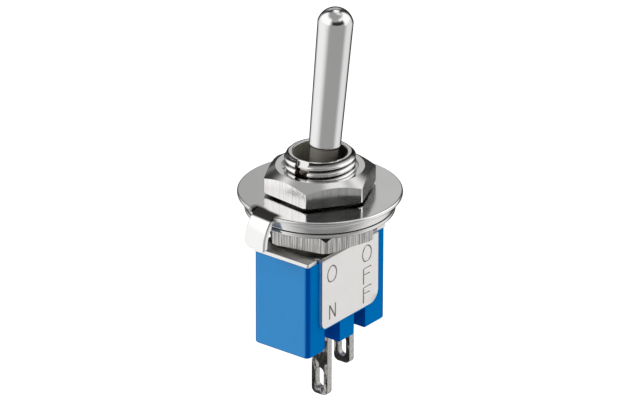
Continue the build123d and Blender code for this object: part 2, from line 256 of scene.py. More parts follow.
def thread_form(turns):
    """From 0 in the sharp root to 1 on the round crest, for a number of turns along the thread."""
    rise = 1 - 2 * abs(turns % 1 - 0.5)
    return 1 - (1 - rise) ** CREST_ROUNDING


rows = round((BUSHING[1] - COLLAR[1]) / THREAD_PITCH * ROWS_PER_TURN)
wall = [(THREAD_RADIUS, COLLAR[1] + (BUSHING[1] - COLLAR[1]) * k / rows) for k in range(rows + 1)]
bushing_profile = [
    (BORE_RADIUS, BUSHING[0]),
    (TENON_RADIUS, BUSHING[0]),
    (TENON_RADIUS, COLLAR[0]),
    (COLLAR_RADIUS, COLLAR[0]),
    (COLLAR_RADIUS, COLLAR[1]),
    *wall,
    (MOUTH_RADIUS, BUSHING[1]),
    (BORE_RADIUS, BUSHING[1] - (MOUTH_RADIUS - BORE_RADIUS)),
]
bushing = spin_profile(bushing_profile, steps=128)
for vert in bushing.verts:
    radius, height = vert.co.xy.length / MM, vert.co.z / MM
    if abs(radius - THREAD_RADIUS) < ON_THE_WALL:
        angle = Vector((1, 0)).angle_signed(vert.co.xy)
        ridge = thread_form(height / THREAD_PITCH + angle / (2 * pi))
        threaded = THREAD_RADIUS - THREAD_DEPTH * (1 - ridge)
        chamfered = RIM_RADIUS + (BUSHING[1] - height) * (THREAD_RADIUS - RIM_RADIUS) / RIM_CHAMFER
        vert.co.xy *= min(threaded, chamfered) / radius
print("turns of thread:", round(rows / ROWS_PER_TURN, 1))

# %% [markdown]
# ## Keyway
# A slot runs down one side of the thread, so that a tongue in it keeps the ring from turning. It
# is cut by a Boolean, as a milling cutter would do it. The box that stands for the cutter reaches
# past the wall and the rim, because faces that only touch give a Boolean trouble.

# %% Keyway
KEYWAY_ANGLE = 184.6
KEYWAY_WIDTH = 1.0
KEYWAY_DEPTH = 0.42
CUTTER_DEPTH = 1.0
CUTTER_HEIGHT = 8.0
keyway_floor = THREAD_RADIUS - KEYWAY_DEPTH
keyway = turned_box(
    bmesh.new(), keyway_floor, keyway_floor + CUTTER_DEPTH, KEYWAY_WIDTH, KEYWAY_ANGLE,
    COLLAR[1], COLLAR[1] + CUTTER_HEIGHT,
)
bushing = cut(bushing, keyway)
bushing = finish_piece(bushing, "threaded_bushing", "bushing", sharp=72)

# %% [markdown]
# ## Soft edges
# No real edge is quite sharp, and the small round on it is what catches the light. A bevel makes
# that round on every edge that is sharper than an angle, or on those that a test picks out.

# %% Soft edges
def soften(bm, offset, angle=60, segments=2, chosen=lambda edge: True):
    """Rounds the chosen edges that are sharper than an angle."""
    edges = [e for e in bm.edges if e.calc_face_angle(0) > radians(angle) and chosen(e)]
    bmesh.ops.bevel(
        bm, geom=edges, offset=offset * MM, offset_type="OFFSET", affect="EDGES",
        segments=segments, profile=0.5, material=-1, clamp_overlap=True,
    )


# %% [markdown]
# ## Nuts
# A nut is turned from hexagon bar, so its chamfers are cones and the bar's flats cut them in
# arcs. That is how it is made here too: a wide ring with a big cone on top and a small one below
# is spun, and then six planes cut its sides flat. The six upright edges are rounded a little,
# because they catch the light as bright lines. The upper nut stands on a low turned seat, and the
# lower nut's cone is steeper, which leaves a V at each of its corners.

# %% Nuts
NUT_FLAT = 3.5
SEAT_RADIUS = 3.2
BACK_RADIUS = 3.9
BACK_CHAMFER = 30
NUT_BORE_RADIUS = 2.3475
NUT_MOUTH_RADIUS = 2.68
BAR_RADIUS = 4.3
NUT_EDGE = 0.1
UPPER_NUT_TURN = 23.7
LOWER_NUT_TURN = 43.7


def upright_corner(edge):
    """True for the six long edges between a nut's flats."""
    one, two = (vert.co for vert in edge.verts)
    return abs((one - two).z) > 0.5 * MM and one.xy.length > BACK_RADIUS * MM


def hexagon_nut(levels, turn, face_radius, chamfer, seat):
    """A nut with a flat face of that radius on top, a chamfer in degrees and a seat of that height."""
    low, high = levels
    drop = (BAR_RADIUS - face_radius) * tan(radians(chamfer))
    rise = (BAR_RADIUS - BACK_RADIUS) * tan(radians(BACK_CHAMFER))
    throat = NUT_MOUTH_RADIUS - NUT_BORE_RADIUS
    bm = spin_profile([
        (NUT_MOUTH_RADIUS, low),
        (SEAT_RADIUS, low),
        (SEAT_RADIUS, low + seat),
        (BACK_RADIUS, low + seat),
        (BAR_RADIUS, low + seat + rise),
        (BAR_RADIUS, high - drop),
        (face_radius, high),
        (NUT_MOUTH_RADIUS, high),
        (NUT_BORE_RADIUS, high - throat),
        (NUT_BORE_RADIUS, low + throat),
    ])
    for side in range(6):
        angle = radians(turn + 30 + 60 * side)
        outward = Vector((cos(angle), sin(angle), 0))
        sliced = bmesh.ops.bisect_plane(
            bm, geom=bm.verts[:] + bm.edges[:] + bm.faces[:],
            plane_co=outward * NUT_FLAT * MM, plane_no=outward, clear_outer=True,
        )
        rim = [g for g in sliced["geom_cut"] if isinstance(g, bmesh.types.BMEdge)]
        bmesh.ops.edgeloop_fill(bm, edges=rim)
    bmesh.ops.recalc_face_normals(bm, faces=bm.faces)
    soften(bm, NUT_EDGE, angle=40, segments=3, chosen=upright_corner)
    return bm


upper_nut = hexagon_nut(UPPER_NUT, UPPER_NUT_TURN, face_radius=3.1, chamfer=30, seat=0.18)
upper_nut = finish_piece(upper_nut, "clamping_nut", "upper_nut", sharp=20)
lower_nut = hexagon_nut(LOWER_NUT, LOWER_NUT_TURN, face_radius=3.3, chamfer=50, seat=0.05)
lower_nut = finish_piece(lower_nut, "backing_nut", "lower_nut", sharp=20)

# %% [markdown]
# ## Washers
# The two washers are blanked from sheet, which rolls their outer edges over. Each is spun from
# a profile with those edges rounded. Where one lies on the next, the rounded edges leave a groove,
# and the grooves are the dark lines of the stack. The lock washer's teeth are bars, joined on by
# a Boolean.

# %% Washers
WASHER_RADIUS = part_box("spacer_washer")[1].x / MM
WASHER_BORE = 2.6
WASHER_EDGE = 0.12
SPACER_LEVELS = (bottom("spacer_washer"), top("spacer_washer"))
LOCK_LEVELS = (bottom("lock_washer"), top("lock_washer"))
LOCK_WEB_RADIUS = 3.7
LOCK_TEETH = 12
LOCK_TOOTH_WIDTH = 0.6
OVERLAP = 0.1


def washer(bore, radius, low, high, edge):
    """A flat ring whose two outer edges have a round of that radius."""
    corners = []
    for middle, start in ((high - edge, 90), (low + edge, 0)):
        turns = [radians(start - 90 * k / 4) for k in range(5)]
        corners += [(radius - edge + edge * cos(t), middle + edge * sin(t)) for t in turns]
    return spin_profile([(bore, high), *corners, (bore, low)])


spacer = washer(WASHER_BORE, WASHER_RADIUS, *SPACER_LEVELS, WASHER_EDGE)
spacer = finish_piece(spacer, "spacer", "spacer_washer", sharp=50)
lock_washer = washer(LOCK_WEB_RADIUS, WASHER_RADIUS, *LOCK_LEVELS, WASHER_EDGE)
teeth = bmesh.new()
for tooth in range(LOCK_TEETH):
    turn = 360 * tooth / LOCK_TEETH
    turned_box(teeth, WASHER_BORE, LOCK_WEB_RADIUS + OVERLAP, LOCK_TOOTH_WIDTH, turn, *LOCK_LEVELS)
lock_washer = cut(lock_washer, teeth, "UNION")
lock_washer = finish_piece(lock_washer, "toothed_lock_washer", "lock_washer", sharp=50)

# %% [markdown]
# ## Tab of the locating ring
# Two saw cuts at the ring's rim free a tab, which is bent down through the gap. The tab is a row
# of sections along the bend, bridged one to the next. Each section is a flat bar with its outer
# corners rolled over, and near the tip the sections grow narrower by the tip's two corner rounds.

# %% Tab
RING_LEVELS = (SPACER_LEVELS[1], 0.0)
SHEET = RING_LEVELS[1] - RING_LEVELS[0]
TAB_ANGLE = 173.5
TAB_WIDTH = 1.9
TAB_EDGE = 0.12
TAB_ROOT = 5.22
TAB_ROOT_BEND = 0.45
TAB_SLOPE = 45
TAB_MIDDLE = 6.325
TAB_DROP = 2.47
TAB_CORNERS = (0.55, 0.2)


def tab_path():
    """Middle points and outward turns in degrees, from the root of the tab down to its tip."""
    level = -SHEET / 2
    points = [(TAB_ROOT - OVERLAP, level, 90)]
    for turn in range(90, TAB_SLOPE - 1, -9):
        a = radians(turn)
        points.append((TAB_ROOT + TAB_ROOT_BEND * cos(a), level + TAB_ROOT_BEND * (sin(a) - 1), turn))
    x, z, _ = points[-1]
    bend = (TAB_MIDDLE - x) / (1 - cos(radians(TAB_SLOPE)))
    low = z - bend * sin(radians(TAB_SLOPE))
    corner = max(TAB_CORNERS)
    heights = [low + bend * sin(radians(t)) for t in range(40, 9, -5)]
    heights += [-TAB_DROP + corner * (1 - sin(radians(t))) for t in range(0, 91, 9)]
    for height in heights:
        turn = asin(max(0, height - low) / bend)
        points.append((TAB_MIDDLE + bend * (cos(turn) - 1), height, degrees(turn)))
    return points


def half_width(corner, height):
    """Half of the tab's width at a height, on the side where the tip has that corner round."""
    above = height + TAB_DROP
    lost = corner - sqrt(max(0, corner**2 - (corner - above) ** 2)) if above < corner else 0
    return TAB_WIDTH / 2 - lost


def tab_mesh():
    """The bent tab, one section of the bar after the other, turned to its place on the rim."""
    bm = bmesh.new()
    loops = []
    outer = SHEET / 2 - TAB_EDGE
    turns = [radians(90 * k / 3) for k in range(4)]
    for x, z, turn in tab_path():
        out = Vector((cos(radians(turn)), 0, sin(radians(turn))))
        section = []
        for corner, sign in zip(TAB_CORNERS, (-1, 1)):
            wide = half_width(corner, z)
            row = [(wide - TAB_EDGE + TAB_EDGE * sin(t), outer + TAB_EDGE * cos(t)) for t in turns]
            row = [(sign * y, o) for y, o in (*row, (wide, -SHEET / 2))]
            section += row if sign > 0 else row[::-1]
        verts = [bm.verts.new((Vector((x, y, z)) + out * o) * MM) for y, o in section]
        loops.append([bm.edges.new((a, b)) for a, b in zip(verts, verts[1:] + verts[:1])])
    for one, two in zip(loops, loops[1:]):
        bmesh.ops.bridge_loops(bm, edges=one + two)
    for end in (loops[0], loops[-1]):
        bmesh.ops.edgeloop_fill(bm, edges=end)
    tidy(bm)
    turned = Matrix.Rotation(radians(TAB_ANGLE), 3, "Z")
    bmesh.ops.rotate(bm, verts=bm.verts, cent=(0, 0, 0), matrix=turned)
    return bm


tab = tab_mesh()
print("tab:", len(tab.faces), "faces")

# %% [markdown]
# ## Locating ring
# The ring is pressed from sheet as thick as the lock washer's, and it is spun as the washers are.
# Then the gap is cut out of its rim, and the tab and a small tongue that sits in the keyway are
# joined to it.

# %% Locating ring
RING_RADIUS = 5.75
RING_EDGE = 0.14
TAB_GAP = 0.05
TONGUE_START = 2.18
TONGUE_END = 2.7
TONGUE_WIDTH = 0.8
ring = washer(WASHER_BORE, RING_RADIUS, *RING_LEVELS, RING_EDGE)
tab_gap = turned_box(
    bmesh.new(), TAB_ROOT - OVERLAP, RING_RADIUS + OVERLAP, TAB_WIDTH + 2 * TAB_GAP, TAB_ANGLE, -1, 1
)
tongue = turned_box(bmesh.new(), TONGUE_START, TONGUE_END, TONGUE_WIDTH, KEYWAY_ANGLE, *RING_LEVELS)
ring = cut(ring, tab_gap)
ring = cut(ring, tongue, "UNION")
ring = cut(ring, tab, "UNION")
ring = finish_piece(ring, "tabbed_ring", "locating_ring")

# %% [markdown]
# ## Profile of the lever
# The lever is one turned piece: a round tip, a bat that narrows to a shoulder, a thin neck, a
# ball that rocks in the bushing and a sleeve for the plunger. Its profile is drawn upright, from
# the sleeve's roof round the sleeve and up to the tip, with 0 at the pivot. The tip's dome is a
# little flatter than half a ball, which leaves a faint edge where it meets the bat.

# %% Lever profile
LEVER_LENGTH = 13.96
TIP_RADIUS = 1.25
TIP_HEIGHT = 1.0
BAT_RADIUS = 1.12
SHOULDER = 3.9
SHOULDER_ROUND = 0.14
SHOULDER_RISE = 0.3
NECK_RADIUS = 0.95
HUB_RADIUS = 1.65
SLEEVE_RADIUS = 1.05
SLEEVE_LENGTH = 4.7
SLEEVE_BORE = 0.62
SLEEVE_ROOF = 1.02
BAT_STEPS = 12


def arc(centre, radius, start, end, steps):
    """Points along an arc of a profile, from one angle in degrees to another."""
    turns = [radians(start + (end - start) * k / steps) for k in range(steps + 1)]
    return [(radius * cos(t), centre + radius * sin(t)) for t in turns]


tip_round = (TIP_RADIUS**2 + TIP_HEIGHT**2) / (2 * TIP_HEIGHT)
tip_base = LEVER_LENGTH - TIP_HEIGHT
cap_start = degrees(asin((tip_round - TIP_HEIGHT) / tip_round))
hub_low = -degrees(acos(SLEEVE_RADIUS / HUB_RADIUS))
hub_high = degrees(acos(NECK_RADIUS / HUB_RADIUS))
bat_start = SHOULDER + SHOULDER_RISE
round_edge = arc(SHOULDER + SHOULDER_ROUND, SHOULDER_ROUND, -90, 0, 6)
shoulder_arc = [(BAT_RADIUS - SHOULDER_ROUND + r, z) for r, z in round_edge]
bat_side = []
for k in range(BAT_STEPS):
    widened = (TIP_RADIUS - BAT_RADIUS) * k / BAT_STEPS
    risen = (tip_base - bat_start) * k / BAT_STEPS
    bat_side.append((BAT_RADIUS + widened, bat_start + risen))
lever_profile = [
    (0, -SLEEVE_ROOF),
    (SLEEVE_BORE, -SLEEVE_ROOF),
    (SLEEVE_BORE, -SLEEVE_LENGTH),
    (SLEEVE_RADIUS, -SLEEVE_LENGTH),
    *arc(0, HUB_RADIUS, hub_low, hub_high, 20),
    *shoulder_arc,
    *bat_side,
    *arc(LEVER_LENGTH - tip_round, tip_round, cap_start, 90, 24),
]
print("points of the profile:", len(lever_profile))

# %% [markdown]
# ## Lever
# The profile is spun, and the ball is drilled across for the pin. Only then is the whole lever
# leant over to where it rests, at the OFF end, because a lean is easier on a finished mesh.

# %% Lever
LEVER_TILT = 7.5
PIVOT_HEIGHT = (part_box("pivot_pin")[0].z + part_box("pivot_pin")[1].z) / 2 / MM
PIN_HOLE_RADIUS = 0.42
lever = spin_profile(lever_profile, steps=112)
pin_hole = bmesh.new()
bmesh.ops.create_cone(
    pin_hole, cap_ends=True, segments=48, radius1=PIN_HOLE_RADIUS * MM, radius2=PIN_HOLE_RADIUS * MM,
    depth=4 * MM, matrix=Matrix.Rotation(radians(90), 4, "X"),
)
lever = cut(lever, pin_hole)
lean = Matrix.Translation((0, 0, PIVOT_HEIGHT * MM)) @ Matrix.Rotation(radians(LEVER_TILT), 4, "Y")
bmesh.ops.transform(lever, matrix=lean, verts=lever.verts)
lever = finish_piece(lever, "bat_lever", "lever", sharp=35)

# %% [markdown]
# ## Stamped letters
# The words on the bracket are stamped, one letter over the other, with V-shaped strokes: ON by
# the keyway and OFF at the other end. A die leaves such strokes in real sheet. Here each stroke
# is a bar turned on its corner, so that half of it sinks into the sheet and cuts a V there.

# %% Letters
STROKE_WIDTH = 0.14
STROKE_DEPTH = 0.07
N_HALF_WIDTH = 0.32
N_HEIGHT = 1.08
F_WIDTH = 0.86
F_TOP_BAR = 0.05
F_MIDDLE_BAR = 0.08
F_MIDDLE_SHARE = 0.8
LETTER_HEIGHT = 1.2
O_WIDTH = 1.0


def letter_stroke(bm, start, end):
    """A bar with a diamond section from one point of the wing to another, in millimetres."""
    a, b = Vector((start[0], WING_FACE, start[1])), Vector((end[0], WING_FACE, end[1]))
    lengthwise = (b - a).normalized()
    inward = Vector((0, 1, 0))
    matrix = Matrix((inward.cross(lengthwise), inward, lengthwise)).transposed().to_4x4()
    matrix.translation = (a + b) / 2 * MM
    size = Matrix.Diagonal((STROKE_WIDTH, 2 * STROKE_DEPTH, (b - a).length, 1))
    bar = bmesh.ops.create_cone(bm, cap_ends=True, segments=4, radius1=MM / 2, radius2=MM / 2, depth=MM)
    bmesh.ops.transform(bm, matrix=matrix @ size, verts=bar["verts"])


def letter_o(bm, x, z):
    """A ring with a diamond section, spun round and then made narrower than it is tall."""
    half = LETTER_HEIGHT / 2
    before = set(bm.verts)
    offsets = ((-STROKE_WIDTH / 2, 0), (0, STROKE_DEPTH), (STROKE_WIDTH / 2, 0), (0, -STROKE_DEPTH))
    section = [bm.verts.new(((half + out) * MM, deep * MM, 0)) for out, deep in offsets]
    edges = [bm.edges.new((a, b)) for a, b in zip(section, section[1:] + section[:1])]
    bmesh.ops.spin(
        bm, geom=section + edges, cent=(0, 0, 0), axis=(0, 1, 0), angle=2 * pi, steps=48, use_merge=True
    )
    ring_verts = [v for v in bm.verts if v not in before]
    place = Matrix.Translation(Vector((x, WING_FACE, z)) * MM)
    narrow = Matrix.Diagonal((O_WIDTH / LETTER_HEIGHT, 1, 1, 1))
    bmesh.ops.transform(bm, matrix=place @ narrow, verts=ring_verts)


def letter_f(bm, x, z):
    """An F whose stem is at x and whose middle is at z."""
    low, high = z - LETTER_HEIGHT / 2, z + LETTER_HEIGHT / 2
    letter_stroke(bm, (x, low), (x, high))
    letter_stroke(bm, (x, high - F_TOP_BAR), (x + F_WIDTH, high - F_TOP_BAR))
    letter_stroke(bm, (x, z + F_MIDDLE_BAR), (x + F_WIDTH * F_MIDDLE_SHARE, z + F_MIDDLE_BAR))


def letter_n(bm, x, z):
    """An N with its middle at x and z."""
    low, high = z - N_HEIGHT / 2, z + N_HEIGHT / 2
    letter_stroke(bm, (x - N_HALF_WIDTH, low), (x - N_HALF_WIDTH, high))
    letter_stroke(bm, (x + N_HALF_WIDTH, low), (x + N_HALF_WIDTH, high))
    letter_stroke(bm, (x - N_HALF_WIDTH, high), (x + N_HALF_WIDTH, low))


OFF = ((letter_o, 1.87, -4.87), (letter_f, 1.5, -6.53), (letter_f, 1.5, -7.98))
ON = ((letter_o, -2.09, -4.95), (letter_n, -2.03, -7.82))
word_cutters = bmesh.new()
for letter, x, z in (*OFF, *ON):
    letter(word_cutters, x, z)
bmesh.ops.recalc_face_normals(word_cutters, faces=word_cutters.faces)
print("strokes' corners:", len(word_cutters.verts))

# %% [markdown]
# ## Bracket
# The bracket is one folded sheet of even thickness, and the CAD already has its folds. So its
# mesh is copied, its sheared edges are softened, and the strokes are cut out of the copy. A CAD
# mesh is loose triangles, which have to be welded before a bevel can follow their edges.

# %% Bracket
SOFT_EDGE = 0.05


def copy_of(node):
    """A CAD node's mesh, copied and welded, with its flat faces made whole."""
    bm = bmesh.new()
    bm.from_mesh(frame["nodes"][node].data)
    bmesh.ops.remove_doubles(bm, verts=bm.verts, dist=WELD)
    bmesh.ops.dissolve_limit(bm, angle_limit=radians(0.5), verts=bm.verts, edges=bm.edges)
    return bm


bracket = copy_of("bracket")
soften(bracket, SOFT_EDGE)
bracket = cut(bracket, word_cutters)
bracket = finish_piece(bracket, "lettered_bracket", "bracket")

# %% [markdown]
# ## Moulded housing
# The corners of a mould are never quite sharp. A copy of the CAD housing gets a small round on
# the lower edges of its feet, which gives them a soft outline.

# %% Housing
HOUSING_EDGE = 0.16
FEET_HEIGHT = 0.9
FEET_TOP = bottom("housing") + FEET_HEIGHT


def on_feet(edge):
    """True for the edges of the feet."""
    return all(vert.co.z < FEET_TOP * MM for vert in edge.verts)


housing = copy_of("housing")
soften(housing, HOUSING_EDGE, segments=3, chosen=on_feet)
housing = finish_piece(housing, "moulded_housing", "housing", sharp=50)

# %% [markdown]
# ## Solder lugs
# The lugs are blanked from thick strip and tinned by dipping, so their edges are soft. A copy of
# each CAD lug has its sharp edges rounded.

# %% Solder lugs
lugs = {}
for node in ("common_lug", "switched_lug"):
    lug = copy_of(node)
    soften(lug, SOFT_EDGE)
    lugs[node] = finish_piece(lug, node.replace("lug", "solder_lug"), node, sharp=50)

# %% [markdown]
# ## Plunger spring
# A coil spring can't ride on one body. Its upper end stays against the roof of the lever's
# sleeve, and its lower end goes up with the plunger. This copy of the coil gets a mesh of its own,
# and the lever's own axis is worked out here.

# %% Plunger spring
spring = finish_piece(copy_of("plunger_spring"), "coil_spring", "plunger_spring", sharp=60)
lever_axis = Vector((sin(radians(LEVER_TILT)), 0, cos(radians(LEVER_TILT))))
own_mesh(spring)

# %% [markdown]
# ## Finishes
# A finish is a tree of nodes that ends in one shader. One helper starts such a tree, and another
# adds a node and links its inputs in the same line. Arithmetic is made of nodes too.

# %% Node helpers
def new_finish(name, metallic=1):
    """A new material with its node tree and its shader node."""
    material = bpy.data.materials.new(name)
    material.use_nodes = True
    tree = material.node_tree
    shader = tree.nodes["Principled BSDF"]
    shader.inputs["Metallic"].default_value = metallic
    return material, tree, shader


def add(tree, kind, inputs=None, **settings):
    """A node with its settings and inputs. An input is a value or another node's output."""
    node = tree.nodes.new(kind)
    for key, value in settings.items():
        setattr(node, key, value)
    for key, value in (inputs or {}).items():
        if isinstance(value, bpy.types.NodeSocket):
            tree.links.new(value, node.inputs[key])
        else:
            node.inputs[key].default_value = value
    return node


def calculate(tree, operation, *values):
    """One step of arithmetic, such as ADD or MAXIMUM, on numbers and outputs."""
    return add(tree, "ShaderNodeMath", dict(enumerate(values)), operation=operation).outputs[0]


def product(tree, *factors):
    """Factors multiplied together."""
    result = factors[0]
    for factor in factors[1:]:
        result = calculate(tree, "MULTIPLY", result, factor)
    return result


# %% [markdown]
# ## Patterns
# Each pattern reads Object coordinates, which are metres from the switch's own origin, so the
# grain stays with the metal. Noise is given as grains to the millimetre, and it is stretched
# along the way that the tool went. Where a finish changes from place to place, it follows a
# height, a direction or a distance, and a Map Range node turns that into a mask from 0 to 1.

# %% Pattern helpers
def part_of(tree, axis, source="Object"):
    """The X, Y or Z of a place, or with source Normal, of the way that a face looks."""
    place = add(tree, "ShaderNodeTexCoord").outputs[source]
    return add(tree, "ShaderNodeSeparateXYZ", {0: place}).outputs[axis]


def facing(tree, axis):
    """1 on faces that look along an axis, either way, and 0 on faces that lie along it."""
    return calculate(tree, "ABSOLUTE", part_of(tree, axis, "Normal"))


def grain(tree, per_mm, detail=3.0, rotation=(0, 0, 0)):
    """Noise with so many grains to the millimetre along X, Y and Z."""
    place = add(tree, "ShaderNodeTexCoord").outputs["Object"]
    inputs = {"Vector": place, "Rotation": rotation, "Scale": [n / MM for n in per_mm]}
    scaled = add(tree, "ShaderNodeMapping", inputs).outputs["Vector"]
    inputs = {"Vector": scaled, "Scale": 1.0, "Detail": detail}
    return add(tree, "ShaderNodeTexNoise", inputs).outputs["Fac"]


def spread(tree, value, low, high, to_low=0.0, to_high=1.0):
    """A value from one range put into another."""
    inputs = {"Value": value, "From Min": low, "From Max": high, "To Min": to_low, "To Max": to_high}
    return add(tree, "ShaderNodeMapRange", inputs).outputs["Result"]


# %% [markdown]
# ## Colour and relief
# A mask mixes two colours. The finish then gets its colour, its roughness and a relief that is a
# few hundredths of a millimetre deep or less, which breaks up reflections as tool marks do.

# %% Paint helpers
def mixed(tree, factor, one, two):
    """A colour that goes from one to the other with a factor."""
    node = add(tree, "ShaderNodeMix", data_type="RGBA")
    tree.links.new(factor, node.inputs["Factor"])
    for socket, value in ((node.inputs[6], one), (node.inputs[7], two)):
        if isinstance(value, bpy.types.NodeSocket):
            tree.links.new(value, socket)
        else:
            socket.default_value = (*value, 1)
    return node.outputs[2]


def paint(material, colour, rough, height, depth_mm, strength):
    """Gives a finish its colour, its roughness and a relief of that depth."""
    tree = material.node_tree
    shader = tree.nodes["Principled BSDF"]
    tree.links.new(colour, shader.inputs["Base Color"])
    tree.links.new(rough, shader.inputs["Roughness"])
    inputs = {"Strength": strength, "Distance": depth_mm * MM, "Height": height}
    relief = add(tree, "ShaderNodeBump", inputs)
    tree.links.new(relief.outputs["Normal"], shader.inputs["Normal"])
    print(material.name, "has", len(tree.nodes), "nodes")


# %% [markdown]
# ## Nickel plate
# Bright nickel is a mirror with a trace of the tool marks under it. The nuts' flats keep upright
# scratches from the drawn bar, so the noise there is stretched along Z. On level faces the plate
# is nearly clean. The lower nut's plate is worn and its marks are deeper. The upper nut's turned
# seat is painted black as painted shade, which makes the dark line under its hexagon.

# %% Nickel on the nuts
SEAT_SHADE = (0.05, 0.05, 0.047)
BRIGHT_NICKEL = (0.97, 0.96, 0.95)
DULL_NICKEL = (0.76, 0.75, 0.73)
WORN_NICKEL = (0.72, 0.71, 0.69)
WORN_DULL_NICKEL = (0.16, 0.155, 0.15)
SEAT_LEVELS = ((-0.1, -0.05), (0.17, 0.2))


def between(tree, value, ramp_in, ramp_out):
    """1 from the end of one ramp to the start of the other, and 0 outside. Ramps in millimetres."""
    rises = spread(tree, value, ramp_in[0] * MM, ramp_in[1] * MM)
    falls = spread(tree, value, ramp_out[1] * MM, ramp_out[0] * MM)
    return product(tree, rises, falls)


def nickel_with_bar_marks(name, bright, dull, depth):
    """Nickel on drawn bar, with marks of that depth in millimetres."""
    material, tree, _ = new_finish(name)
    streaks = grain(tree, (7, 7, 0.3), 5)
    cloud = grain(tree, (0.6, 0.6, 0.6), 2)
    upright = spread(tree, facing(tree, "Z"), 0.3, 0.8, 1.0, 0.0)
    marks = product(tree, streaks, upright)
    plate = mixed(tree, spread(tree, marks, 0.45, 0.75), bright, dull)
    # painted shade: the seat under the upper nut's hexagon is coloured black
    on_seat = between(tree, part_of(tree, "Z"), *SEAT_LEVELS)
    colour = mixed(tree, on_seat, plate, SEAT_SHADE)
    paint(material, colour, spread(tree, cloud, 0.3, 0.7, 0.1, 0.18), marks, depth, 0.8)
    return material


upper_nickel = nickel_with_bar_marks("upper_nut_nickel", BRIGHT_NICKEL, DULL_NICKEL, 0.03)
lower_nickel = nickel_with_bar_marks("lower_nut_nickel", WORN_NICKEL, WORN_DULL_NICKEL, 0.07)

# %% [markdown]
# ## Dirt and shade on the stack
# The grooves between the washers are painted dark as painted shade. On the ring a smudge of dirt
# lies at the tab's root, and the tab's inner face is darker and rougher. Each is a mask, made of how
# far a point is from a groove or from the tab.

# %% Dirt and shade masks
GROOVES = (SPACER_LEVELS[1], SPACER_LEVELS[0], LOCK_LEVELS[0])


def along(tree, way, source="Object"):
    """How far a place lies along a direction, or with source Normal, how much a face looks there."""
    place = add(tree, "ShaderNodeTexCoord").outputs[source]
    return add(tree, "ShaderNodeVectorMath", {0: place, 1: way}, operation="DOT_PRODUCT").outputs["Value"]


def groove_shade(tree, height):
    """One painted shade mask for each groove in the stack."""
    # painted shade: each groove between the washers is darkened
    away = [calculate(tree, "ABSOLUTE", calculate(tree, "SUBTRACT", height, g * MM)) for g in GROOVES]
    return [spread(tree, distance, 0.08 * MM, 0.03 * MM) for distance in away]


def tab_marks(tree, height, cloud):
    """The masks of the tab's inner face and of the smudge at its root."""
    outward = (cos(radians(TAB_ANGLE)), sin(radians(TAB_ANGLE)), 0)
    sideways = (-outward[1], outward[0], 0)
    reach = along(tree, outward)
    # the tab's inner face is made darker and rougher; the smudge at its root is dirt
    inner_face = product(
        tree, 0.45,
        spread(tree, along(tree, outward, "Normal"), -0.2, -0.5),
        spread(tree, height, -0.36 * MM, -0.45 * MM),
        spread(tree, reach, 5.2 * MM, 5.3 * MM),
    )
    ragged = calculate(tree, "MULTIPLY_ADD", cloud, 0.8 * MM, reach)
    smudge = product(
        tree,
        spread(tree, ragged, 5.3 * MM, 5.6 * MM),
        spread(tree, calculate(tree, "ABSOLUTE", along(tree, sideways)), 1.5 * MM, 1.0 * MM),
        spread(tree, height, -0.40 * MM, -0.30 * MM),
    )
    return [inner_face, smudge]


# %% [markdown]
# ## Pressed sheet
# The ring and washers shine like the nuts. Their plate is brighter towards the OFF side and duller
# away from it. The dirt and the painted shade lie over that, and they are rough, so they hardly shine.

# %% Nickel on washers and ring
DIRT_AND_SHADE = (0.07, 0.068, 0.065)
TO_OFF_SIDE = (0.612, -0.791, 0)


def pressed_nickel(name, bright, dull, on_ring):
    """Nickel on pressed sheet, with dirt and a darker inner face round the ring's tab, or painted shade
    in the washers' grooves.
    """
    material, tree, _ = new_finish(name)
    cloud = grain(tree, (0.35, 0.35, 0.35), 3)
    fine = grain(tree, (14, 14, 14), 2)
    height = part_of(tree, "Z")
    # brighter towards the OFF side, duller away from it
    towards_off = calculate(tree, "MULTIPLY_ADD", cloud, 6 * MM, along(tree, TO_OFF_SIDE))
    below_sheet = spread(tree, height, -0.36 * MM, -0.42 * MM)
    bright_plate = calculate(tree, "MAXIMUM", spread(tree, towards_off, -2 * MM, 7 * MM), below_sheet)
    dirt_and_shade = spread(tree, cloud, 0.9, 1.0)
    # the grooves' masks are painted shade in the gaps between the washers; the smudge is dirt
    for dark_mask in tab_marks(tree, height, cloud) if on_ring else groove_shade(tree, height):
        dirt_and_shade = calculate(tree, "MAXIMUM", dirt_and_shade, dark_mask)
    colour = mixed(tree, dirt_and_shade, mixed(tree, bright_plate, dull, bright), DIRT_AND_SHADE)
    rough = calculate(tree, "MULTIPLY_ADD", dirt_and_shade, 0.55, spread(tree, cloud, 0.3, 0.7, 0.12, 0.22))
    paint(material, colour, rough, fine, 0.003, 0.6)
    return material


ring_nickel = pressed_nickel("ring_nickel", (0.97, 0.965, 0.955), (0.74, 0.735, 0.73), on_ring=True)
washer_nickel = pressed_nickel("washer_nickel", (0.90, 0.89, 0.88), (0.70, 0.69, 0.68), on_ring=False)

# %% [markdown]
# ## Bushing
# The colour follows the distance from the axis. The thread's roots are painted nearly black as
# painted shade, and the crests are bright nickel. The bore holds a film of grease whose tone is
# lifted as painted light, and its OFF side is painted almost black as the lever's painted shadow.
# The keyway's floor is bright near the rim and brown further down.

# %% Bushing nickel
def radius_from_axis(tree):
    """The distance from the bushing's axis, in metres."""
    place = add(tree, "ShaderNodeTexCoord").outputs["Object"]
    flat = add(tree, "ShaderNodeVectorMath", {0: place, 1: (1, 1, 0)}, operation="MULTIPLY").outputs[0]
    return add(tree, "ShaderNodeVectorMath", {0: flat}, operation="LENGTH").outputs["Value"]


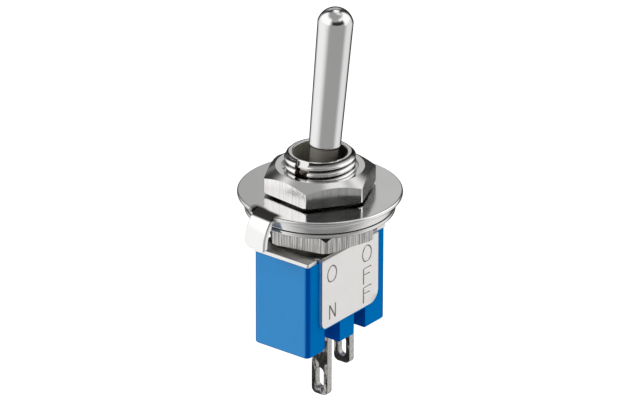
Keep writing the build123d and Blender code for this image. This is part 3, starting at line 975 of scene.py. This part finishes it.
def bushing_nickel():
    material, tree, shader = new_finish("bushing_nickel")
    radius = radius_from_axis(tree)
    smear = grain(tree, (3, 3, 3), 3)
    crest = spread(tree, radius, 2.26 * MM, 2.43 * MM)
    slot_floor = spread(tree, radius, 2.19 * MM, 2.17 * MM)
    floor_near_rim = product(tree, slot_floor, spread(tree, part_of(tree, "Z"), 2.15 * MM, 2.4 * MM))
    bright_plate = calculate(tree, "MAXIMUM", crest, floor_near_rim)
    # painted shade: the thread's roots are near black, and the keyway's floor brown
    root = mixed(tree, slot_floor, (0.05, 0.048, 0.043), (0.15, 0.13, 0.11))
    plated = mixed(tree, bright_plate, root, (0.96, 0.95, 0.94))
    outside_bore = spread(tree, radius, (BORE_RADIUS + 0.015) * MM, (BORE_RADIUS + 0.05) * MM)
    # painted light: the grease film in the bore is given a lifted tone
    lifted_film = mixed(tree, smear, (0.28, 0.28, 0.23), (0.48, 0.47, 0.39))
    # painted shadow: the bore's OFF side, in the lever's shade, goes almost black
    lever_shadow = spread(tree, along(tree, TO_OFF_SIDE), 0.3 * MM, 1.5 * MM)
    shade_colour = mixed(tree, lever_shadow, lifted_film, (0.03, 0.03, 0.025))
    colour = mixed(tree, outside_bore, shade_colour, plated)
    tree.links.new(spread(tree, outside_bore, 0, 1, 0.35, 1.0), shader.inputs["Metallic"])
    paint(material, colour, spread(tree, outside_bore, 0, 1, 0.5, 0.13), smear, 0.006, 0.5)
    return material


bushing_finish = bushing_nickel()

# %% [markdown]
# ## Polished lever
# The bat is polished and plated. What is left of the lathe are rings so fine that they only
# soften the reflections round it. They follow the lever's own axis, so the noise is leant over
# with it. The neck and ball never reach the polishing wheel. They stay a matt grey brown, so the
# height along the lever tells where one finish gives way to the other. A dark room behind a bright
# rod gives it dark outlines, and a facing weight paints them dark on every side, as a painted
# reflection.

# %% Lever nickel
def lever_nickel():
    material, tree, shader = new_finish("lever_nickel")
    neck_top = (PIVOT_HEIGHT * lever_axis.z + SHOULDER) * MM
    polished = spread(tree, along(tree, lever_axis), neck_top - 0.01 * MM, neck_top + 0.04 * MM)
    rings = grain(tree, (0.3, 0.3, 12), 2, rotation=(0, radians(-LEVER_TILT), 0))
    cloud = grain(tree, (0.5, 0.5, 0.5), 2)
    plate = mixed(tree, cloud, (0.91, 0.905, 0.90), (0.87, 0.865, 0.86))
    raw = mixed(tree, cloud, (0.22, 0.205, 0.185), (0.30, 0.28, 0.25))
    glancing = add(tree, "ShaderNodeLayerWeight", {"Blend": 0.5}).outputs["Facing"]
    # painted reflection: faces seen edge-on are coloured near black as dark outlines
    outlined = mixed(tree, spread(tree, glancing, 0.57, 0.8), plate, (0.05, 0.05, 0.05))
    tree.links.new(spread(tree, polished, 0, 1, 0.45, 1.0), shader.inputs["Metallic"])
    matt = spread(tree, polished, 0, 1, 0.4, 0.0)
    rough = calculate(tree, "ADD", spread(tree, rings, 0.3, 0.7, 0.09, 0.15), matt)
    paint(material, mixed(tree, polished, raw, outlined), rough, rings, 0.001, 0.5)
    return material


lever_finish = lever_nickel()

# %% [markdown]
# ## Satin steel
# The bracket is tinned sheet with a soft, even sheen. Fine rolling marks run along the wing.
# Round the bushing, the plate's top is painted dark as the painted shadow of the nut, darkest
# right under it, so there the colour follows the distance from the axis. The floors of the stamped
# strokes are a darker grey, which shows them from every side.

# %% Bracket steel
def satin_steel():
    material, tree, _ = new_finish("satin_steel")
    rolled = grain(tree, (1.2, 1.2, 16), 3)
    cloud = grain(tree, (0.5, 0.5, 0.5), 3)
    tint = mixed(tree, spread(tree, cloud, 0.3, 0.7), (0.98, 0.965, 0.945), (0.95, 0.935, 0.915))
    ragged = calculate(tree, "MULTIPLY_ADD", cloud, 1.2 * MM, radius_from_axis(tree))
    # painted shadow: the plate's top round the nut is darkened, almost black right under it
    near_nut = spread(tree, ragged, 4.95 * MM, 4.15 * MM)
    on_top = spread(tree, facing(tree, "Z"), 0.8, 0.95)
    under_nut = spread(tree, ragged, 4.6 * MM, 4.2 * MM)
    shade_colour = mixed(tree, under_nut, (0.60, 0.585, 0.53), (0.06, 0.06, 0.052))
    shaded_top = mixed(tree, product(tree, near_nut, on_top), tint, shade_colour)
    floor_starts = (WING_FACE + 0.01, WING_FACE + 0.045)
    floor_ends = (WING_FACE + 0.1, WING_FACE + 0.12)
    # the floors of the stamped strokes are coloured a darker grey
    in_stroke = between(tree, part_of(tree, "Y"), floor_starts, floor_ends)
    colour = mixed(tree, in_stroke, shaded_top, (0.30, 0.29, 0.27))
    paint(material, colour, spread(tree, rolled, 0.3, 0.7, 0.34, 0.46), rolled, 0.0015, 0.4)
    return material


bracket_finish = satin_steel()

# %% [markdown]
# ## Dull tin
# Dipped tin is grainy, with dull grey crystals, bright runs and darker places where flux and
# fingers have been. Two scales of noise give the patches and the grain, and the grain also lifts
# the surface. The rolled faces, which face along X, are painted nearly black as painted shade, and
# the cut edges keep a brighter tin grey.

# %% Lug tin
def dull_tin():
    material, tree, _ = new_finish("dull_tin")
    patches = grain(tree, (1.5, 1.8, 1.0), 5)
    fine = grain(tree, (9, 9, 9), 3)
    rolled = spread(tree, facing(tree, "X"), 0.4, 0.9)
    # painted shade: the rolled faces along X get a near-black tin
    face = mixed(tree, spread(tree, fine, 0.38, 0.66), (0.012, 0.011, 0.010), (0.085, 0.082, 0.078))
    edge = mixed(tree, spread(tree, fine, 0.3, 0.55), (0.30, 0.29, 0.28), (0.66, 0.65, 0.63))
    worn = mixed(tree, spread(tree, patches, 0.5, 0.6), face, (0.02, 0.02, 0.018))
    shiny = mixed(tree, spread(tree, patches, 0.48, 0.41), worn, (0.46, 0.45, 0.43))
    colour = mixed(tree, rolled, edge, shiny)
    paint(material, colour, spread(tree, fine, 0.3, 0.7, 0.26, 0.46), fine, 0.03, 1.0)
    return material


tin = dull_tin()

# %% [markdown]
# ## Blue moulding
# The housing is a blue plastic. Its end faces come from polished steel and shine a little, and
# they are painted a lighter blue as painted light. The long sides come from etched steel and hardly
# shine. They are painted a deeper blue as painted shade, and the rounded corners and the gaps
# between the feet are painted deepest, as painted shade. So colour and shine follow how much a
# face looks along X and how far out it is.

# %% Housing plastic
def blue_moulding():
    material, tree, shader = new_finish("blue_moulding", metallic=0)
    spark = grain(tree, (16, 16, 16), 2)
    cloud = spread(tree, grain(tree, (0.4, 0.4, 0.4), 2), 0.3, 0.7)
    endwise = facing(tree, "X")
    outer = spread(tree, calculate(tree, "ABSOLUTE", part_of(tree, "X")), 4.2 * MM, 4.35 * MM)
    # painted light: outer end faces get a lighter blue, besides a little real shine
    lit_end_mask = product(tree, spread(tree, endwise, 0.86, 0.98), outer)
    lit_end_blue = mixed(tree, cloud, (0.001, 0.188, 0.475), (0.001, 0.180, 0.455))
    shaded_side_blue = mixed(tree, cloud, (0.0, 0.158, 0.480), (0.0, 0.150, 0.460))
    # painted shade: long sides deep blue, rounded corners and gaps between the feet deepest
    shaded_corner_blue = mixed(tree, spread(tree, endwise, 0.1, 0.45), shaded_side_blue, (0.0, 0.058, 0.300))
    tree.links.new(spread(tree, lit_end_mask, 0, 1, 0.0, 0.46), shader.inputs["Specular IOR Level"])
    colour = mixed(tree, lit_end_mask, shaded_corner_blue, lit_end_blue)
    paint(material, colour, spread(tree, spark, 0.3, 0.7, 0.26, 0.34), spark, 0.0015, 0.4)
    return material


housing_finish = blue_moulding()

# %% [markdown]
# ## Pieces inside
# The pin, plunger, rocker and contacts are hidden in the housing. They keep the CAD's shapes, and
# each gets the finish of its own stuff with the same small helpers, as the spring does.

# %% Inner finishes
def plain_finish(name, one, two, metallic, rough, grains=(6, 6, 6)):
    """A finish clouded from one colour to another."""
    material, tree, _ = new_finish(name, metallic)
    noise = grain(tree, grains, 3)
    clouded = spread(tree, noise, 0.3, 0.7)
    colour = mixed(tree, clouded, one, two)
    paint(material, colour, spread(tree, clouded, 0, 1, rough, rough + 0.12), noise, 0.003, 0.4)
    return material


pin_steel = plain_finish("ground_pin_steel", (0.62, 0.62, 0.62), (0.5, 0.5, 0.5), 1, 0.2, (1, 14, 14))
nylon = plain_finish("white_nylon", (0.86, 0.85, 0.80), (0.80, 0.79, 0.74), 0, 0.4)
spring_wire = plain_finish("drawn_spring_wire", (0.55, 0.55, 0.56), (0.42, 0.42, 0.43), 1, 0.25)
bronze = plain_finish("rolled_bronze", (0.80, 0.62, 0.42), (0.66, 0.48, 0.30), 1, 0.25, (1, 12, 12))
silver = plain_finish("contact_silver", (0.90, 0.90, 0.88), (0.76, 0.76, 0.74), 1, 0.2)

# %% [markdown]
# ## Each finish on its piece
# A mesh shows the materials in its own list. The CAD node behind a piece gets the same finish as
# the piece, and the nodes inside, which have no other piece, show theirs themselves.

# %% Dress the pieces
finishes = {
    "bushing": (bushing, bushing_finish),
    "upper_nut": (upper_nut, upper_nickel),
    "lower_nut": (lower_nut, lower_nickel),
    "lever": (lever, lever_finish),
    "bracket": (bracket, bracket_finish),
    "common_lug": (lugs["common_lug"], tin),
    "switched_lug": (lugs["switched_lug"], tin),
    "housing": (housing, housing_finish),
    "locating_ring": (ring, ring_nickel),
    "spacer_washer": (spacer, washer_nickel),
    "lock_washer": (lock_washer, washer_nickel),
    "plunger_spring": (spring, spring_wire),
    "pivot_pin": (None, pin_steel),
    "plunger": (None, nylon),
    "rocker": (None, bronze),
    "rocker_contact": (None, silver),
    "fixed_contact": (None, silver),
}
for node, (piece, material) in finishes.items():
    for obj in filter(None, (frame["nodes"][node], piece)):
        obj.data.materials.clear()
        obj.data.materials.append(material)
print("finishes:", len(finishes))

# %% [markdown]
# ## World
# A catalogue picture has a white ground and soft light from all sides. The world is plain white
# where the camera or a mirror sees it, and a lower, even light for everything else. Asking which
# kind of ray is looking keeps the two apart.

# %% World
WORLD_LEVEL = 0.72
WHITE = (1, 1, 1, 1)


def seen_directly(tree):
    """1 for rays from the camera, from a mirror or through glass."""
    path = add(tree, "ShaderNodeLightPath")
    seen = calculate(tree, "MAXIMUM", path.outputs["Is Camera Ray"], path.outputs["Is Glossy Ray"])
    return calculate(tree, "MAXIMUM", seen, path.outputs["Is Transmission Ray"])


def bare_tree(owner):
    """A world's or material's node tree with nothing in it."""
    owner.use_nodes = True
    owner.node_tree.nodes.clear()
    return owner.node_tree


world = bpy.data.worlds.new("studio")
bpy.context.scene.world = world
sky = bare_tree(world)
even = add(sky, "ShaderNodeBackground", {"Color": WHITE, "Strength": WORLD_LEVEL})
white = add(sky, "ShaderNodeBackground", {"Color": WHITE, "Strength": 1.0})
either = add(sky, "ShaderNodeMixShader", {0: seen_directly(sky), 1: even.outputs[0], 2: white.outputs[0]})
add(sky, "ShaderNodeOutputWorld", {"Surface": either.outputs[0]})

print("world light:", WORLD_LEVEL)

# %% [markdown]
# ## Floor
# The floor is far enough below the lugs that the shadow on it is faint. It is white paper, with a
# little glow where the camera sees it, so that it comes out as white as the world behind it.

# %% Floor
FLOOR_HEIGHT = -40 * MM
FLOOR_RADIUS = 6.0
PAPER = (0.85, 0.85, 0.85, 1)
PAPER_GLOW = 0.3
floor_disc = bmesh.new()
bmesh.ops.create_circle(floor_disc, cap_ends=True, segments=96, radius=FLOOR_RADIUS)
bmesh.ops.translate(floor_disc, vec=(0, 0, FLOOR_HEIGHT), verts=floor_disc.verts)
floor = in_scene("floor", mesh_of(floor_disc, "floor"))
floor.visible_glossy = False
floor_finish = bpy.data.materials.new("white_floor")
ground = bare_tree(floor_finish)
paper = add(ground, "ShaderNodeBsdfDiffuse", {"Color": PAPER})
glow = add(ground, "ShaderNodeEmission", {"Color": WHITE, "Strength": PAPER_GLOW})
lit = add(ground, "ShaderNodeAddShader", {0: paper.outputs[0], 1: glow.outputs[0]})
layers = {0: seen_directly(ground), 1: paper.outputs[0], 2: lit.outputs[0]}
shown_floor = add(ground, "ShaderNodeMixShader", layers)
add(ground, "ShaderNodeOutputMaterial", {"Surface": shown_floor.outputs[0]})
floor.data.materials.append(floor_finish)
print("floor", round(FLOOR_HEIGHT / MM), "mm down")

# %% [markdown]
# ## Cards round the metal
# Polished metal shows only what stands round it. In plain white it would look like paper, so a
# photographer sets grey and black cards round it, with gaps of white between them. Here the cards
# are soft patches on one big sphere. Each has an angle round from the camera, an angle above the
# horizon, how far it goes and how soft its edge is. A later patch lies over the earlier ones.

# %% Greys of the cards
PLAIN_GREY = 0.45
CARDS = [
    # round, half width, softness, above, half height, softness, grey
    (0, 180, 1, 76, 26, 8, 0.34),
    (122, 30, 14, 72, 11, 6, 0.80),
    (180, 50, 7, 0, 60, 7, 0.04),
    (-176, 20, 7, 27, 13, 6, 0.50),
    (172, 20, 7, 62, 13, 6, 1.1),
    (-84, 50, 10, 29, 25, 9, 1.1),
    (84, 52, 10, 29, 25, 9, 1.1),
    (20, 44, 9, 27, 14, 8, 0.02),
    (-92, 42, 26, -30, 42, 9, 0.94),
    (100, 30, 18, -32, 42, 9, 0.80),
    (12, 50, 10, -6, 18, 5, 0.35),
    (12, 36, 6, -54, 32, 3, 0.25),
]


def edge_cover(beyond, softness):
    """1 well inside a patch's edge, 0 well outside it and a smooth step between."""
    cover = min(max(0.5 - beyond / (2 * softness), 0), 1)
    return cover * cover * (3 - 2 * cover)


def card_grey(turn, rise):
    """The grey at an angle round from the camera and an angle above the horizon."""
    grey = PLAIN_GREY
    for middle, half_w, soft_w, above, half_h, soft_h, level in CARDS:
        aside = abs((turn - middle + 180) % 360 - 180)
        cover = edge_cover(aside - half_w, soft_w) * edge_cover(abs(rise - above) - half_h, soft_h)
        grey += (level - grey) * cover
    return grey


print("grey behind the camera:", round(card_grey(0, CAMERA_RISE), 3))

# %% [markdown]
# ## Card sphere
# Each point of the sphere takes its grey from the list, as a colour attribute that its material
# gives out as light. The sphere is hidden from every ray but a mirror's, so it lights nothing and
# throws no shadow.

# %% Card sphere
CARD_RADIUS = 3000 * MM
sphere = bmesh.new()
bmesh.ops.create_uvsphere(sphere, u_segments=120, v_segments=72, radius=CARD_RADIUS)
bmesh.ops.reverse_faces(sphere, faces=sphere.faces)
shade = sphere.verts.layers.float_color.new("card_grey")
for vert in sphere.verts:
    rise = degrees(asin(max(-1, min(1, vert.co.z / CARD_RADIUS))))
    turn = degrees(Vector((0, -1)).angle_signed(vert.co.xy)) if vert.co.xy.length > 1e-9 else 0
    level = card_grey(-turn - CAMERA_TURN, rise)
    vert[shade] = (level, level, level, 1)
cards = in_scene("studio_cards", mesh_of(sphere, "studio_cards"))
cards.visible_camera = False
cards.visible_diffuse = False
cards.visible_shadow = False
cards.visible_transmission = False
cards.visible_volume_scatter = False
card_finish = bpy.data.materials.new("card_paper")
card_tree = bare_tree(card_finish)
greys = add(card_tree, "ShaderNodeAttribute", attribute_name="card_grey").outputs["Color"]
card_light = add(card_tree, "ShaderNodeEmission", {"Color": greys, "Strength": 1.0})
add(card_tree, "ShaderNodeOutputMaterial", {"Surface": card_light.outputs[0]})
card_finish.cycles.emission_sampling = "NONE"
cards.data.materials.append(card_finish)
print("cards:", len(CARDS))

# %% [markdown]
# ## Lamps
# Two wide soft lamps: the main one on the left of the camera and above, and a weaker one on the
# right. They are sized and set so that a surface that faces them shows about its own colour.

# %% Lamps
def soft_lamp(name, turn, rise, distance, size, watts):
    """A round lamp at an angle round from the camera, an angle above and a distance, in metres."""
    data = bpy.data.lights.new(name, "AREA")
    data.shape = "DISK"
    data.size = size
    data.energy = watts
    lamp = in_scene(name, data)
    lamp.location = distance * direction(CAMERA_TURN + turn, rise)
    lamp.rotation_euler = (-lamp.location).to_track_quat("-Z", "Y").to_euler()
    lamp.visible_glossy = False
    print(name, "at", [round(c, 3) for c in lamp.location])


soft_lamp("main_lamp", turn=-80, rise=30, distance=0.7, size=0.45, watts=3.0)
soft_lamp("fill_lamp", turn=75, rise=20, distance=0.8, size=0.5, watts=1.0)
